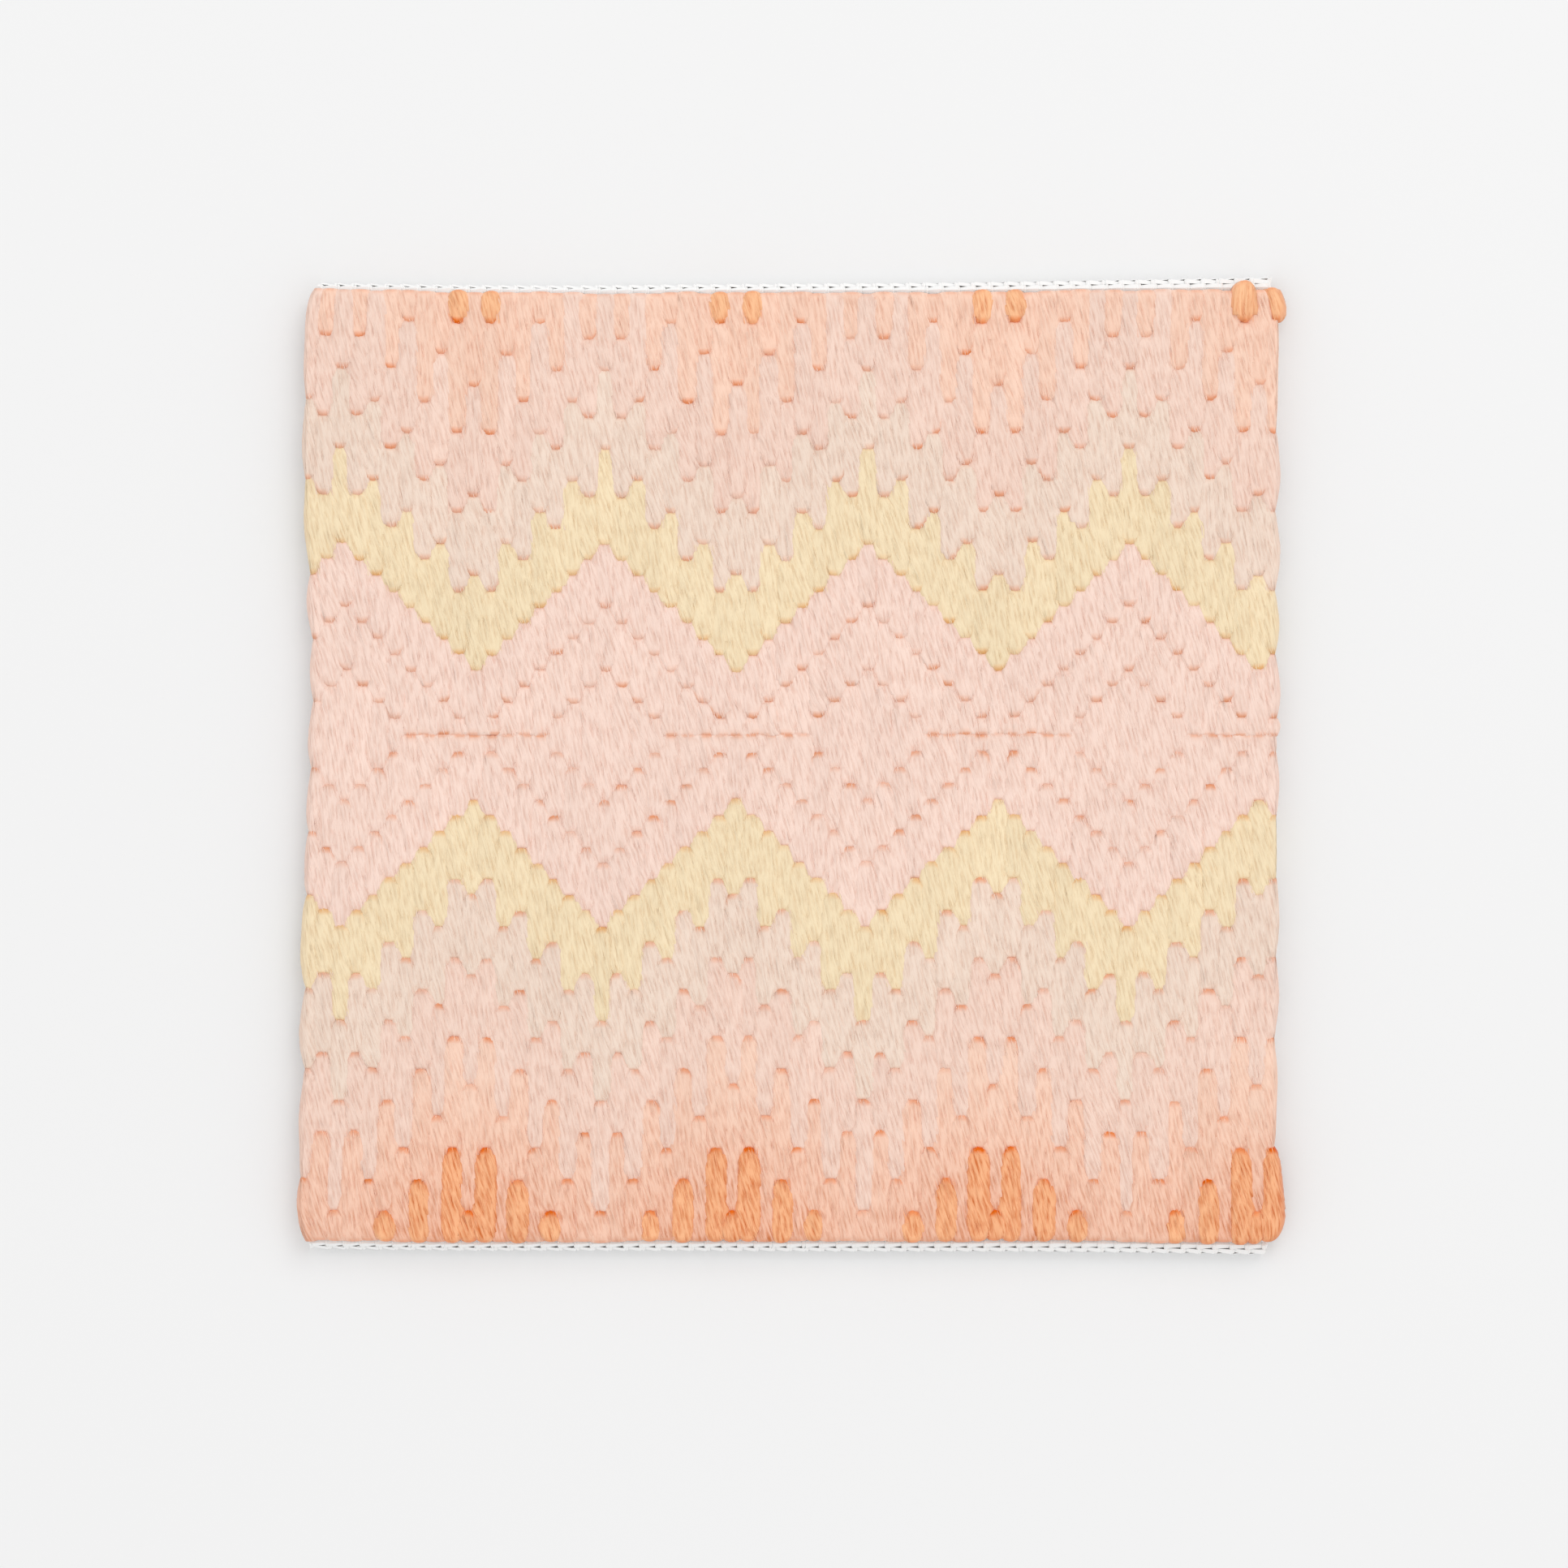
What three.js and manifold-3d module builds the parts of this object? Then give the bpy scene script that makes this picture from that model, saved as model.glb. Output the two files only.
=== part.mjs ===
// A square of needlepoint in Florentine flame stitch, lying on its back with the wool upwards.
// It is an open cotton canvas with its margins folded to the back, covered in upright wool stitches.
// Millimetres. +X is to the right of the pattern, +Y to its top, +Z out of the wool face.
// The origin is in the middle of the underside, on the surface that the panel lies on.
import * as THREE from "three";
import { mergeVertices } from "three/addons/utils/BufferGeometryUtils.js";
import Module from "manifold-3d";

// The canvas count and the stitched field
const THREAD_X = 2.54; // width of one stitch column: ten canvas threads to the inch
const THREAD_Y = 2.45; // height of one canvas thread, packed a little closer by the wool
const COLUMNS = 60;
const ROWS_ABOVE = 28; // canvas threads from the pattern's centre line to the top
const ROWS_BELOW = 32; // and to the bottom
const LEAN = 0.0077; // the pulled canvas leans to the right, mm for each mm of height

// The layers, from the surface up
const CLOTH = 1.0; // thickness of the canvas
const INSIDE = 1.6; // space inside the fold, which holds the wool of the reverse
const GAP = 0.3; // clearance between neighbouring pieces
const WOOL_SIDE = 1.0; // height of the wool between two columns
const WOOL_CROWN = 1.4; // and along the middle of a column
const REVERSE_RIB = 0.2; // how far a column of the reverse stands out

// The folded margins
const HEM = 17.8; // seven threads are turned under along each side
const MITRE = 0.6; // half of the slit where two margins meet, measured along a side
const FOLD_STEPS = 6; // facets round a fold

const WELD = 1e-5; // corners closer than this are one corner
const DIGITS = 1e6; // coordinates of a fold are rounded to this part of a millimetre

const HALF_WIDTH = (COLUMNS * THREAD_X) / 2;
const HALF_HEIGHT = ((ROWS_ABOVE + ROWS_BELOW) * THREAD_Y) / 2;
const FOLD_OUTER = CLOTH + INSIDE / 2;
const FOLD_INNER = INSIDE / 2;
const FACE_UNDERSIDE = CLOTH + INSIDE;
const FACE_TOP = FACE_UNDERSIDE + CLOTH;
const WOOL_BASE = FACE_TOP + GAP;
// The side columns hang a little over the fold, while the top and bottom folds show past the wool.
const FLAT_X = HALF_WIDTH - FOLD_OUTER - GAP;
const FLAT_Y = HALF_HEIGHT;

// The flame pattern: columns in zigzags that rise and fall by one thread a column
const REPEAT = 16; // columns from one low point of the zigzag to the next
const LOW_COLUMN = 10; // a column where the zigzag is lowest
const PINK_REACH = 4; // the pink field goes this many threads past the zigzag

// Outside the pink, each yarn's stitches are longer on the even steps of the zigzag.
const YARNS = [
  { yarn: "yellow", even: 6, odd: 4, colour: 0xf2dbb4 },
  { yarn: "cream", even: 5, odd: 5, colour: 0xefd6c4 },
  { yarn: "blush", even: 7, odd: 5, colour: 0xf1cfbe },
  { yarn: "peach", even: 8, odd: 7, colour: 0xf3c6ad },
  { yarn: "orange", even: Infinity, odd: Infinity, colour: 0xf5ab7e },
];
const PINK = 0xf3d2c2;
const CANVAS_WHITE = 0xf2f1ee;

const HALVES = [
  { name: "upper", side: 1, rows: ROWS_ABOVE },
  { name: "lower", side: -1, rows: ROWS_BELOW },
];

// Places on the panel
function columnEdge(column) {
  return (column - COLUMNS / 2) * THREAD_X;
}

function rowHeight(row) {
  return (row + (ROWS_BELOW - ROWS_ABOVE) / 2) * THREAD_Y;
}

// Steps of the zigzag above its low point, from 0 to half a repeat
function zigzag(column) {
  const along = (((column - LOW_COLUMN) % REPEAT) + REPEAT) % REPEAT;
  return Math.min(along, REPEAT - along);
}

// The stretch of one column that a yarn covers, in mm, with the clearance taken off inside the panel
function stretch(lowRow, highRow) {
  const low = rowHeight(lowRow) + (lowRow > -ROWS_BELOW ? GAP / 2 : 0);
  const high = rowHeight(highRow) - (highRow < ROWS_ABOVE ? GAP / 2 : 0);
  return { low, high };
}

// For one yarn of one half: the stretch in each column, or null where the yarn is absent
function yarnColumns(index, half) {
  return Array.from({ length: COLUMNS }, (_, column) => {
    const step = zigzag(column);
    const lengths = YARNS.map((yarn) => (step % 2 === 0 ? yarn.even : yarn.odd));
    const inner = step + PINK_REACH + lengths.slice(0, index).reduce((sum, n) => sum + n, 0);
    const outer = Math.min(inner + lengths[index], half.rows);
    if (outer <= inner) return null;
    return half.side > 0 ? stretch(inner, outer) : stretch(-outer, -inner);
  });
}

function pinkColumns() {
  return Array.from({ length: COLUMNS }, (_, column) => {
    const reach = zigzag(column) + PINK_REACH;
    return stretch(-reach, reach);
  });
}

// Neighbouring columns of one yarn that touch along their sides make one solid.
function runs(stretches) {
  const found = [];
  let run = null;
  stretches.forEach((here, column) => {
    const before = stretches[column - 1];
    const joined = here && before && Math.min(here.high, before.high) - Math.max(here.low, before.low) > GAP;
    if (here && joined) run.stretches.push(here);
    if (here && !joined) {
      run = { first: column, stretches: [here] };
      found.push(run);
    }
  });
  return found;
}

// A closed mesh from its triangles' corners, with the canvas's lean
function closedMesh(corners) {
  const geometry = new THREE.BufferGeometry();
  const leaning = corners.flatMap(([x, y, z]) => [x + LEAN * y, y, z]);
  geometry.setAttribute("position", new THREE.Float32BufferAttribute(leaning, 3));
  const merged = mergeVertices(geometry, WELD);
  merged.computeVertexNormals();
  return merged;
}

// One solid of wool over a run of columns. Each column is a rib, highest along its middle.
// Between two columns the solid steps up or down to keep its clearance to the next yarn.
function woolSolid({ first, stretches }) {
  const base = WOOL_BASE;
  const side = WOOL_BASE + WOOL_SIDE;
  const crown = WOOL_BASE + WOOL_CROWN;

  // The two corner points of a step at a column's side, for the high and the low end
  const seam = (index) => {
    const left = stretches[index - 1];
    const right = stretches[index];
    const x = columnEdge(first + index);
    if (!left) return { high: x + (first > 0 ? GAP / 2 : 0), low: x + (first > 0 ? GAP / 2 : 0) };
    if (!right) {
      const inset = first + index < COLUMNS ? GAP / 2 : 0;
      return { high: x - inset, low: x - inset };
    }
    return {
      high: x + (Math.sign(right.high - left.high) * GAP) / 2,
      low: x - (Math.sign(right.low - left.low) * GAP) / 2,
    };
  };

  const triangles = [];
  const fan = (points) => {
    for (let k = 1; k + 1 < points.length; k += 1) triangles.push(points[0], points[k], points[k + 1]);
  };
  const at = (z) => ([x, y]) => [x, y, z];

  // The corners down one side of a column: its own ends, and where the neighbour's ends meet that side
  const sidePoints = (own, next, edge) => {
    const points = [[edge.low, own.low]];
    if (next && next.low > own.low) points.push([edge.low, next.low]);
    if (next && next.high < own.high) points.push([edge.high, next.high]);
    points.push([edge.high, own.high]);
    return points;
  };

  // Where a column's side is open, because the neighbour ends sooner or is missing, a wall closes it.
  const openWalls = (own, next, edge) => {
    if (!next) return [[[edge.low, own.low], [edge.high, own.high]]];
    const walls = [];
    if (next.low > own.low) walls.push([[edge.low, own.low], [edge.low, next.low]]);
    if (next.high < own.high) walls.push([[edge.high, next.high], [edge.high, own.high]]);
    return walls;
  };

  stretches.forEach((own, index) => {
    const middle = columnEdge(first + index) + THREAD_X / 2;
    const leftEdge = seam(index);
    const rightEdge = seam(index + 1);
    const left = sidePoints(own, stretches[index - 1], leftEdge);
    const right = sidePoints(own, stretches[index + 1], rightEdge);
    const crownLow = [middle, own.low, crown];
    const crownHigh = [middle, own.high, crown];

    fan([crownLow, ...right.map(at(side)), crownHigh]);
    fan([crownHigh, ...left.map(at(side)).reverse(), crownLow]);
    const under = [...left, ...right.reverse()].map(([x, y]) => new THREE.Vector2(x, y));
    for (const face of THREE.ShapeUtils.triangulateShape(under, [])) {
      const flat = face.map((k) => [under[k].x, under[k].y, base]);
      const turn = (flat[1][0] - flat[0][0]) * (flat[2][1] - flat[0][1])
        - (flat[2][0] - flat[0][0]) * (flat[1][1] - flat[0][1]);
      triangles.push(...(turn < 0 ? flat : flat.reverse()));
    }

    fan([[leftEdge.low, own.low, base], [rightEdge.low, own.low, base],
      [rightEdge.low, own.low, side], crownLow, [leftEdge.low, own.low, side]]);
    fan([[rightEdge.high, own.high, base], [leftEdge.high, own.high, base],
      [leftEdge.high, own.high, side], crownHigh, [rightEdge.high, own.high, side]]);

    for (const [near, far] of openWalls(own, stretches[index + 1], rightEdge)) {
      fan([[...near, base], [...far, base], [...far, side], [...near, side]]);
    }
    for (const [near, far] of openWalls(own, stretches[index - 1], leftEdge)) {
      fan([[...far, base], [...near, base], [...near, side], [...far, side]]);
    }
  });
  return closedMesh(triangles);
}

// The wool of the reverse fills the space inside the folds. Its underside is ribbed as the face is.
function reverseSolid() {
  const high = FACE_UNDERSIDE - GAP;
  const low = CLOTH + GAP;
  const ribs = 2 * Math.floor(FLAT_X / THREAD_X);
  const start = (-ribs / 2) * THREAD_X;
  const outline = [new THREE.Vector2(start, high)];
  for (let rib = 0; rib < ribs; rib += 1) {
    outline.push(new THREE.Vector2(start + rib * THREAD_X, low + REVERSE_RIB));
    outline.push(new THREE.Vector2(start + (rib + 0.5) * THREAD_X, low));
  }
  outline.push(new THREE.Vector2(-start, low + REVERSE_RIB), new THREE.Vector2(-start, high));
  const halfHeight = FLAT_Y - GAP;
  const section = new THREE.Shape(outline);
  const solid = new THREE.ExtrudeGeometry(section, { depth: 2 * halfHeight, bevelEnabled: false });
  // The outline is drawn across and up, so the extrusion is turned to run along Y.
  solid.rotateX(Math.PI / 2).translate(0, halfHeight, 0);
  return solid;
}

// The section of a fold, from the underside of the margin round to the top of the face
function foldSection() {
  const arc = (radius, turn) => {
    const angle = (turn - 0.5) * Math.PI;
    const round = (value) => Math.round(value * DIGITS) / DIGITS;
    return new THREE.Vector2(round(radius * Math.cos(angle)), round(FOLD_OUTER + radius * Math.sin(angle)));
  };
  const steps = Array.from({ length: FOLD_STEPS + 1 }, (_, k) => k / FOLD_STEPS);
  const outer = steps.map((turn) => arc(FOLD_OUTER, turn));
  const inner = steps.map((turn) => arc(FOLD_INNER, turn)).reverse();
  return new THREE.Shape([...outer, ...inner]);
}

// One margin: the fold along a side and the strip behind it, whose ends are cut on the slant.
// It is made for the right-hand side and turned to its place.
function margin(flatOut, flatAlong, quarterTurns) {
  const along = flatAlong - MITRE;
  const fold = new THREE.ExtrudeGeometry(foldSection(), { depth: 2 * along, bevelEnabled: false });
  fold.rotateX(Math.PI / 2).translate(flatOut, along, 0);
  const strip = new THREE.ExtrudeGeometry(
    new THREE.Shape([
      new THREE.Vector2(flatOut, -along),
      new THREE.Vector2(flatOut, along),
      new THREE.Vector2(flatOut - HEM, along - HEM),
      new THREE.Vector2(flatOut - HEM, HEM - along),
    ]),
    { depth: CLOTH, bevelEnabled: false },
  );
  return [fold, strip].map((piece) => turnedPiece(piece, quarterTurns));
}

// Whole quarter turns about Z, exact to the last digit so that the faces that meet still match
function turnedPiece(geometry, quarterTurns) {
  const cosine = [1, 0, -1, 0][quarterTurns];
  const sine = [0, 1, 0, -1][quarterTurns];
  const turn = new THREE.Matrix4().set(cosine, -sine, 0, 0, sine, cosine, 0, 0, 0, 0, 1, 0, 0, 0, 0, 1);
  return geometry.applyMatrix4(turn);
}

const manifold = await Module();
manifold.setup();

function solidOf(geometry) {
  const bare = geometry.clone();
  bare.deleteAttribute("normal");
  bare.deleteAttribute("uv");
  const merged = mergeVertices(bare, WELD);
  return new manifold.Manifold(new manifold.Mesh({
    numProp: 3,
    vertProperties: new Float32Array(merged.attributes.position.array),
    triVerts: new Uint32Array(merged.index.array),
  }));
}

function leaningGeometry(mesh) {
  const { vertProperties, triVerts } = mesh;
  const corners = Array.from(triVerts, (k) => Array.from(vertProperties.subarray(3 * k, 3 * k + 3)));
  return closedMesh(corners);
}

// The whole canvas: the square under the wool and its four margins, one piece of cloth
function canvasSolid() {
  const face = new THREE.BoxGeometry(2 * FLAT_X, 2 * FLAT_Y, CLOTH);
  face.translate(0, 0, FACE_UNDERSIDE + CLOTH / 2);
  const pieces = [face];
  for (const quarterTurns of [0, 1, 2, 3]) {
    const upright = quarterTurns % 2 === 0;
    pieces.push(...margin(upright ? FLAT_X : FLAT_Y, upright ? FLAT_Y : FLAT_X, quarterTurns));
  }
  const joined = pieces.map(solidOf).reduce((whole, piece) => whole.add(piece));
  return leaningGeometry(joined.getMesh());
}

function piece(name, geometry, colour, roughness) {
  const material = new THREE.MeshStandardMaterial({ color: colour, roughness, metalness: 0 });
  const mesh = new THREE.Mesh(geometry, material);
  mesh.name = name;
  return mesh;
}

const WOOL_ROUGHNESS = 0.95;
const COTTON_ROUGHNESS = 0.85;

const panel = new THREE.Group();
panel.add(piece("canvas", canvasSolid(), CANVAS_WHITE, COTTON_ROUGHNESS));
panel.add(piece("wool_reverse", leaningGeometry(solidOf(reverseSolid()).getMesh()), PINK, WOOL_ROUGHNESS));

const face = new THREE.Group();
for (const run of runs(pinkColumns())) {
  face.add(piece("pink_centre", woolSolid(run), PINK, WOOL_ROUGHNESS));
}
for (const half of HALVES) {
  YARNS.forEach(({ yarn, colour }, index) => {
    const found = runs(yarnColumns(index, half));
    found.forEach((run, number) => {
      const name = found.length > 1 ? `${yarn}_${half.name}_${number + 1}` : `${yarn}_${half.name}`;
      face.add(piece(name, woolSolid(run), colour, WOOL_ROUGHNESS));
    });
  });
}
panel.add(face);

export default panel;
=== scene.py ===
# %% [markdown]
# # A needlepoint square in Florentine flame stitch
# The real piece is an open cotton canvas covered in upright wool stitches, whose lengths follow a
# zigzag chart. Its margins are folded to the back. This lesson dresses the plain solids of that
# panel in Blender: every stitch becomes a small bundle of wool plies, and the canvas becomes
# woven threads. The panel's lengths are worked out in millimetres and turned into metres when a
# mesh is filled. The surface and the lamp are placed in metres.

# %% The model that this scene dresses
import math

import bpy
import numpy as np
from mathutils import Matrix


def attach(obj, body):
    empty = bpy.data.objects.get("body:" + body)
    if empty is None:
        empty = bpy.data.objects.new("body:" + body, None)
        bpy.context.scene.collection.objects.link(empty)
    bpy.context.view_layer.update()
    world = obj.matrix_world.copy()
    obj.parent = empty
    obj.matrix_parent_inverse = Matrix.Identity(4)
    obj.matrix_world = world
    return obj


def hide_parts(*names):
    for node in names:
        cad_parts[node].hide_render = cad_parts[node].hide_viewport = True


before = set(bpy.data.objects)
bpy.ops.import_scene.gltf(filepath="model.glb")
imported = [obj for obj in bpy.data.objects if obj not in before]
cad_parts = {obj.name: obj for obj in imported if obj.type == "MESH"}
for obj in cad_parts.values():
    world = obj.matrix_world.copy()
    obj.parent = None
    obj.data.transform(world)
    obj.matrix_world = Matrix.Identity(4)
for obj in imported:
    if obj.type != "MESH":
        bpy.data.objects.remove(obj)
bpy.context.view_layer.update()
MM = 0.001
print("solids to dress:", len(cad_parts))

# %% [markdown]
# ## The camera
# The panel lies flat and is seen straight from above. A long lens far away keeps the small
# perspective of such a picture. The view is a square of 243 mm, and the panel's middle is a
# little to the right of the view's middle and above it.

# %% Camera
VIEW_WIDTH = 242.9
VIEW_CENTRE = (-1.3, -2.7)
WOOL_LEVEL = 4.8
LENS = 100.0
SENSOR = 36.0

camera_data = bpy.data.cameras.new("camera")
camera_data.lens = LENS
camera_data.sensor_width = SENSOR
camera = bpy.data.objects.new("camera", camera_data)
height_above = VIEW_WIDTH * LENS / SENSOR + WOOL_LEVEL
camera.location = (VIEW_CENTRE[0] * MM, VIEW_CENTRE[1] * MM, height_above * MM)
bpy.context.collection.objects.link(camera)
bpy.context.scene.camera = camera
bpy.context.scene.view_settings.view_transform = "Standard"
print("camera is", round(height_above), "mm above the surface")

# %% [markdown]
# ## The surface and the light
# A pale matt surface and a bright, even sky give the soft studio look. One broad lamp to the
# upper right throws the faint shadow to the left and below, and brings out the plies.

# %% Surface and light
FLOOR_SIZE = 6.0
FLOOR_CORNERS = ((-1, -1), (1, -1), (1, 1), (-1, 1))
FLOOR_DROP_MM = -0.05
FLOOR_COLOUR = (0.905, 0.905, 0.905, 1.0)
SKY_STRENGTH = 0.875
LAMP_DIRECTION = (0.42, 0.82, 1.0)
LAMP_DISTANCE = 2.0
LAMP_SIZE = 1.2
LAMP_WATTS = 7.5

half_floor = FLOOR_SIZE / 2
floor_points = [(x * half_floor, y * half_floor, FLOOR_DROP_MM * MM) for x, y in FLOOR_CORNERS]
floor_mesh = bpy.data.meshes.new("floor")
floor_mesh.from_pydata(floor_points, [], [(0, 1, 2, 3)])
floor = bpy.data.objects.new("floor", floor_mesh)
bpy.context.collection.objects.link(floor)
floor_paint = bpy.data.materials.new("pale surface")
floor_paint.use_nodes = True
floor_shader = floor_paint.node_tree.nodes["Principled BSDF"]
floor_shader.inputs["Base Color"].default_value = FLOOR_COLOUR
floor_shader.inputs["Roughness"].default_value = 0.9
floor_shader.inputs["Specular IOR Level"].default_value = 0.1
floor_mesh.materials.append(floor_paint)

sky = bpy.data.worlds.new("sky")
sky.use_nodes = True
sky.node_tree.nodes["Background"].inputs["Color"].default_value = (1.0, 1.0, 1.0, 1.0)
sky.node_tree.nodes["Background"].inputs["Strength"].default_value = SKY_STRENGTH
bpy.context.scene.world = sky

lamp_data = bpy.data.lights.new("lamp", "AREA")
lamp_data.size = LAMP_SIZE
lamp_data.energy = LAMP_WATTS
lamp = bpy.data.objects.new("lamp", lamp_data)
towards = np.array(LAMP_DIRECTION) / np.linalg.norm(LAMP_DIRECTION)
lamp.location = towards * LAMP_DISTANCE
lamp.rotation_euler = (
    math.acos(towards[2]),
    0.0,
    math.atan2(towards[1], towards[0]) + math.pi / 2,
)
bpy.context.collection.objects.link(lamp)
print("lamp stands", round(math.degrees(math.asin(towards[2]))), "degrees above the surface")

# %% [markdown]
# ## The chart
# Florentine work needs no drawing. Every column of stitches has a step, its height on a zigzag
# that climbs one canvas thread a column and turns every eight columns. From the centre line
# outwards the column then holds the same row of yarns, and only the lengths change: most are
# longer on the even steps. The lower half mirrors the upper one and goes four threads further.

# %% Sizes of the canvas and the zigzag
THREAD_X = 2.54
THREAD_Y = 2.45
COLUMNS = 60
ROWS_ABOVE = 28
ROWS_BELOW = 32
REPEAT = 16
LOW_COLUMN = 10
PINK_STITCH = 4

column_numbers = np.arange(COLUMNS)
along_repeat = (column_numbers - LOW_COLUMN) % REPEAT
step = np.minimum(along_repeat, REPEAT - along_repeat)
even_step = step % 2 == 0
column_middle = (column_numbers + 0.5 - COLUMNS / 2) * THREAD_X


def row_height(row):
    """The height of a hole row above the panel's middle; rows count from the chart's centre line."""
    return (row + (ROWS_BELOW - ROWS_ABOVE) / 2) * THREAD_Y


print("columns by step:", np.bincount(step).tolist())

# %% The stitches of each yarn
# Lengths in canvas threads on even and on odd steps. The orange goes on to the edge.
TO_THE_EDGE = 99
YARN_LENGTHS = {
    "yellow": (6, 4),
    "cream": (5, 5),
    "blush": (7, 5),
    "peach": (8, 7),
    "orange": (TO_THE_EDGE, TO_THE_EDGE),
}


def course(inner, outer, limit, side):
    """One worked row as (column, inner row, outer row), where a column's outer row is past its inner one.

    The outer rows are cut at the limit. The side is 1 in the upper half and -1 in the lower one.
    """
    cut = np.minimum(outer, limit)
    kept = cut > inner
    return np.stack([column_numbers[kept], side * inner[kept], side * cut[kept]], axis=1)


chart = {"pink_centre": [course(-(step - PINK_STITCH), step - PINK_STITCH, ROWS_BELOW, 1)]}
for half, side, limit in (("upper", 1, ROWS_ABOVE), ("lower", -1, ROWS_BELOW)):
    chart["pink_" + half] = [
        course(np.maximum(step - PINK_STITCH, 0), step, limit, side),
        course(step, step + PINK_STITCH, limit, side),
    ]
    edge = step + PINK_STITCH
    for yarn, (on_even, on_odd) in YARN_LENGTHS.items():
        next_edge = edge + np.where(even_step, on_even, on_odd)
        chart[yarn + "_" + half] = [course(edge, next_edge, limit, side)]
        edge = next_edge
print("stitches:", {name: sum(len(rows) for rows in courses) for name, courses in chart.items()})

# %% [markdown]
# ## How the cloth lies
# Pulled canvas is never quite square. The columns lean a little to the right, the top edge
# sags in the middle, and all the edges wander slowly. One function moves every point of the wool and
# of the canvas alike, so that the layers keep fitting together.

# %% The lean and the unevenness
# A bulge is (side, height of its middle, length, amount), a wave (share, pace across, pace up, start).
LEAN = 0.0060
TOP_SAG = 0.70
TOP_LOW = 0.25
BOTTOM_FALL = 0.12
WANDER = 0.16
WANDER_UP = 0.6 * WANDER
WAVES_ACROSS = ((1.0, 0.0, 0.055, 0.9), (0.6, 0.031, 0.12, 2.1))
WAVES_UP = ((1.0, 0.047, 0.0, 0.4), (0.5, 0.10, -0.05, 0.0))
BULGES = ((-1, 8.0, 24.0, 0.7), (-1, 50.0, 16.0, -0.6), (1, 28.0, 24.0, -0.8), (-1, -70.0, 10.0, -0.7))
HALF_WIDTH = COLUMNS * THREAD_X / 2
HALF_HEIGHT = (ROWS_ABOVE + ROWS_BELOW) * THREAD_Y / 2


def waves(kinds, x, y):
    """The sum of share * sin(pace across * x + pace up * y + start) over the waves."""
    return sum(share * np.sin(in_x * x + in_y * y + start) for share, in_x, in_y, start in kinds)


def as_it_lies(x, y):
    """Moves flat canvas places to where they lie.

    x + lean * y + waves + the bulges of both sides; y + the sag of the top + the fall of the bottom
    + waves. A bulge is amount * exp(-((y - height) / length)^2), and fades towards the middle.
    """
    across = x / HALF_WIDTH
    up = y / HALF_HEIGHT
    bulges = sum(amount * np.exp(-((y - height) / length) ** 2) * np.clip(side * across, 0, 1) ** 3
                 for side, height, length, amount in BULGES)
    top = (TOP_SAG * across ** 2 - TOP_LOW) * np.clip(up, 0, 1)
    bottom = BOTTOM_FALL * across * np.clip(up, -1, 0)
    new_x = x + LEAN * y + WANDER * waves(WAVES_ACROSS, x, y) + bulges
    new_y = y + top + bottom + WANDER_UP * waves(WAVES_UP, x, y)
    return new_x, new_y


# %% [markdown]
# ## From arrays to a mesh
# Every piece below ends as arrays: points, the corners of its faces, a place on the yarn for
# each corner, and a few painted values for each point. One helper puts them into a mesh.

# %% The mesh helper
panel_pieces = {}


def add_piece(name, points, quads, triangles, corner_uv=None, painted=None, flat=None):
    """A new object from arrays in mm: foreach_set fills points, corners and faces in one go each."""
    mesh = bpy.data.meshes.new(name)
    corners = np.concatenate([quads.ravel(), triangles.ravel()]).astype(np.int32)
    starts = np.concatenate([
        np.arange(len(quads)) * 4,
        len(quads) * 4 + np.arange(len(triangles)) * 3,
    ]).astype(np.int32)
    mesh.vertices.add(len(points))
    mesh.vertices.foreach_set("co", (points * MM).astype(np.float32).ravel())
    mesh.loops.add(len(corners))
    mesh.loops.foreach_set("vertex_index", corners)
    mesh.polygons.add(len(starts))
    mesh.polygons.foreach_set("loop_start", starts)
    mesh.polygons.foreach_set("use_smooth", np.ones(len(starts), bool) if flat is None else ~flat)
    if corner_uv is not None:
        uv = mesh.uv_layers.new(name="yarn")
        uv.data.foreach_set("uv", corner_uv.astype(np.float32).ravel())
    if painted is not None:
        paint = mesh.attributes.new("painted", "FLOAT_COLOR", "POINT")
        paint.data.foreach_set("color", painted.astype(np.float32).ravel())
    mesh.update()
    mesh.validate()
    piece = bpy.data.objects.new(name, mesh)
    bpy.context.collection.objects.link(piece)
    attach(piece, "root")
    panel_pieces[name] = piece
    print(name, len(quads) * 2 + len(triangles), "triangles")
    return piece


def inside_out(points, quads):
    """Whether the faces point inwards: the sum of a . (b x c) over the faces is six times the volume."""
    a, b, c, d = (points[quads[:, k]] for k in range(4))
    volume = (a * np.cross(b, c)).sum() + (a * np.cross(c, d)).sum()
    return volume < 0


# %% [markdown]
# ## One stitch
# A stitch is several plies of wool laid side by side from one hole of the canvas to another.
# It could be modelled ply by ply, which costs thousands of faces. Here it is one closed skin:
# a ring of points that is carried along the stitch. The ring has a flat foot and a nearly flat
# top, with a crease between each two plies. It turns slowly on its way, so that the creases
# slant as the plies of twisted yarn do.

# %% The ring of a yarn bundle
TOP_SHARE = 0.85
SIDE_HOLD = 1.17
FOOT_THICKNESS = 0.15


def ring_places(turn):
    """Place across, v, of ring points by their turn from 0 to 1, and whether they are on the top.

    v goes from 1 to -1 over the top and back below. It is held at 1 and at -1 for a while, so that there is
    always a point at either side and the outline is even.
    """
    turn = turn % 1.0
    on_top = turn < TOP_SHARE
    over = np.clip(SIDE_HOLD * (1 - 2 * turn / TOP_SHARE), -1, 1)
    below = 2 * (turn - TOP_SHARE) / (1 - TOP_SHARE) - 1
    return np.where(on_top, over, below), on_top
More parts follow.
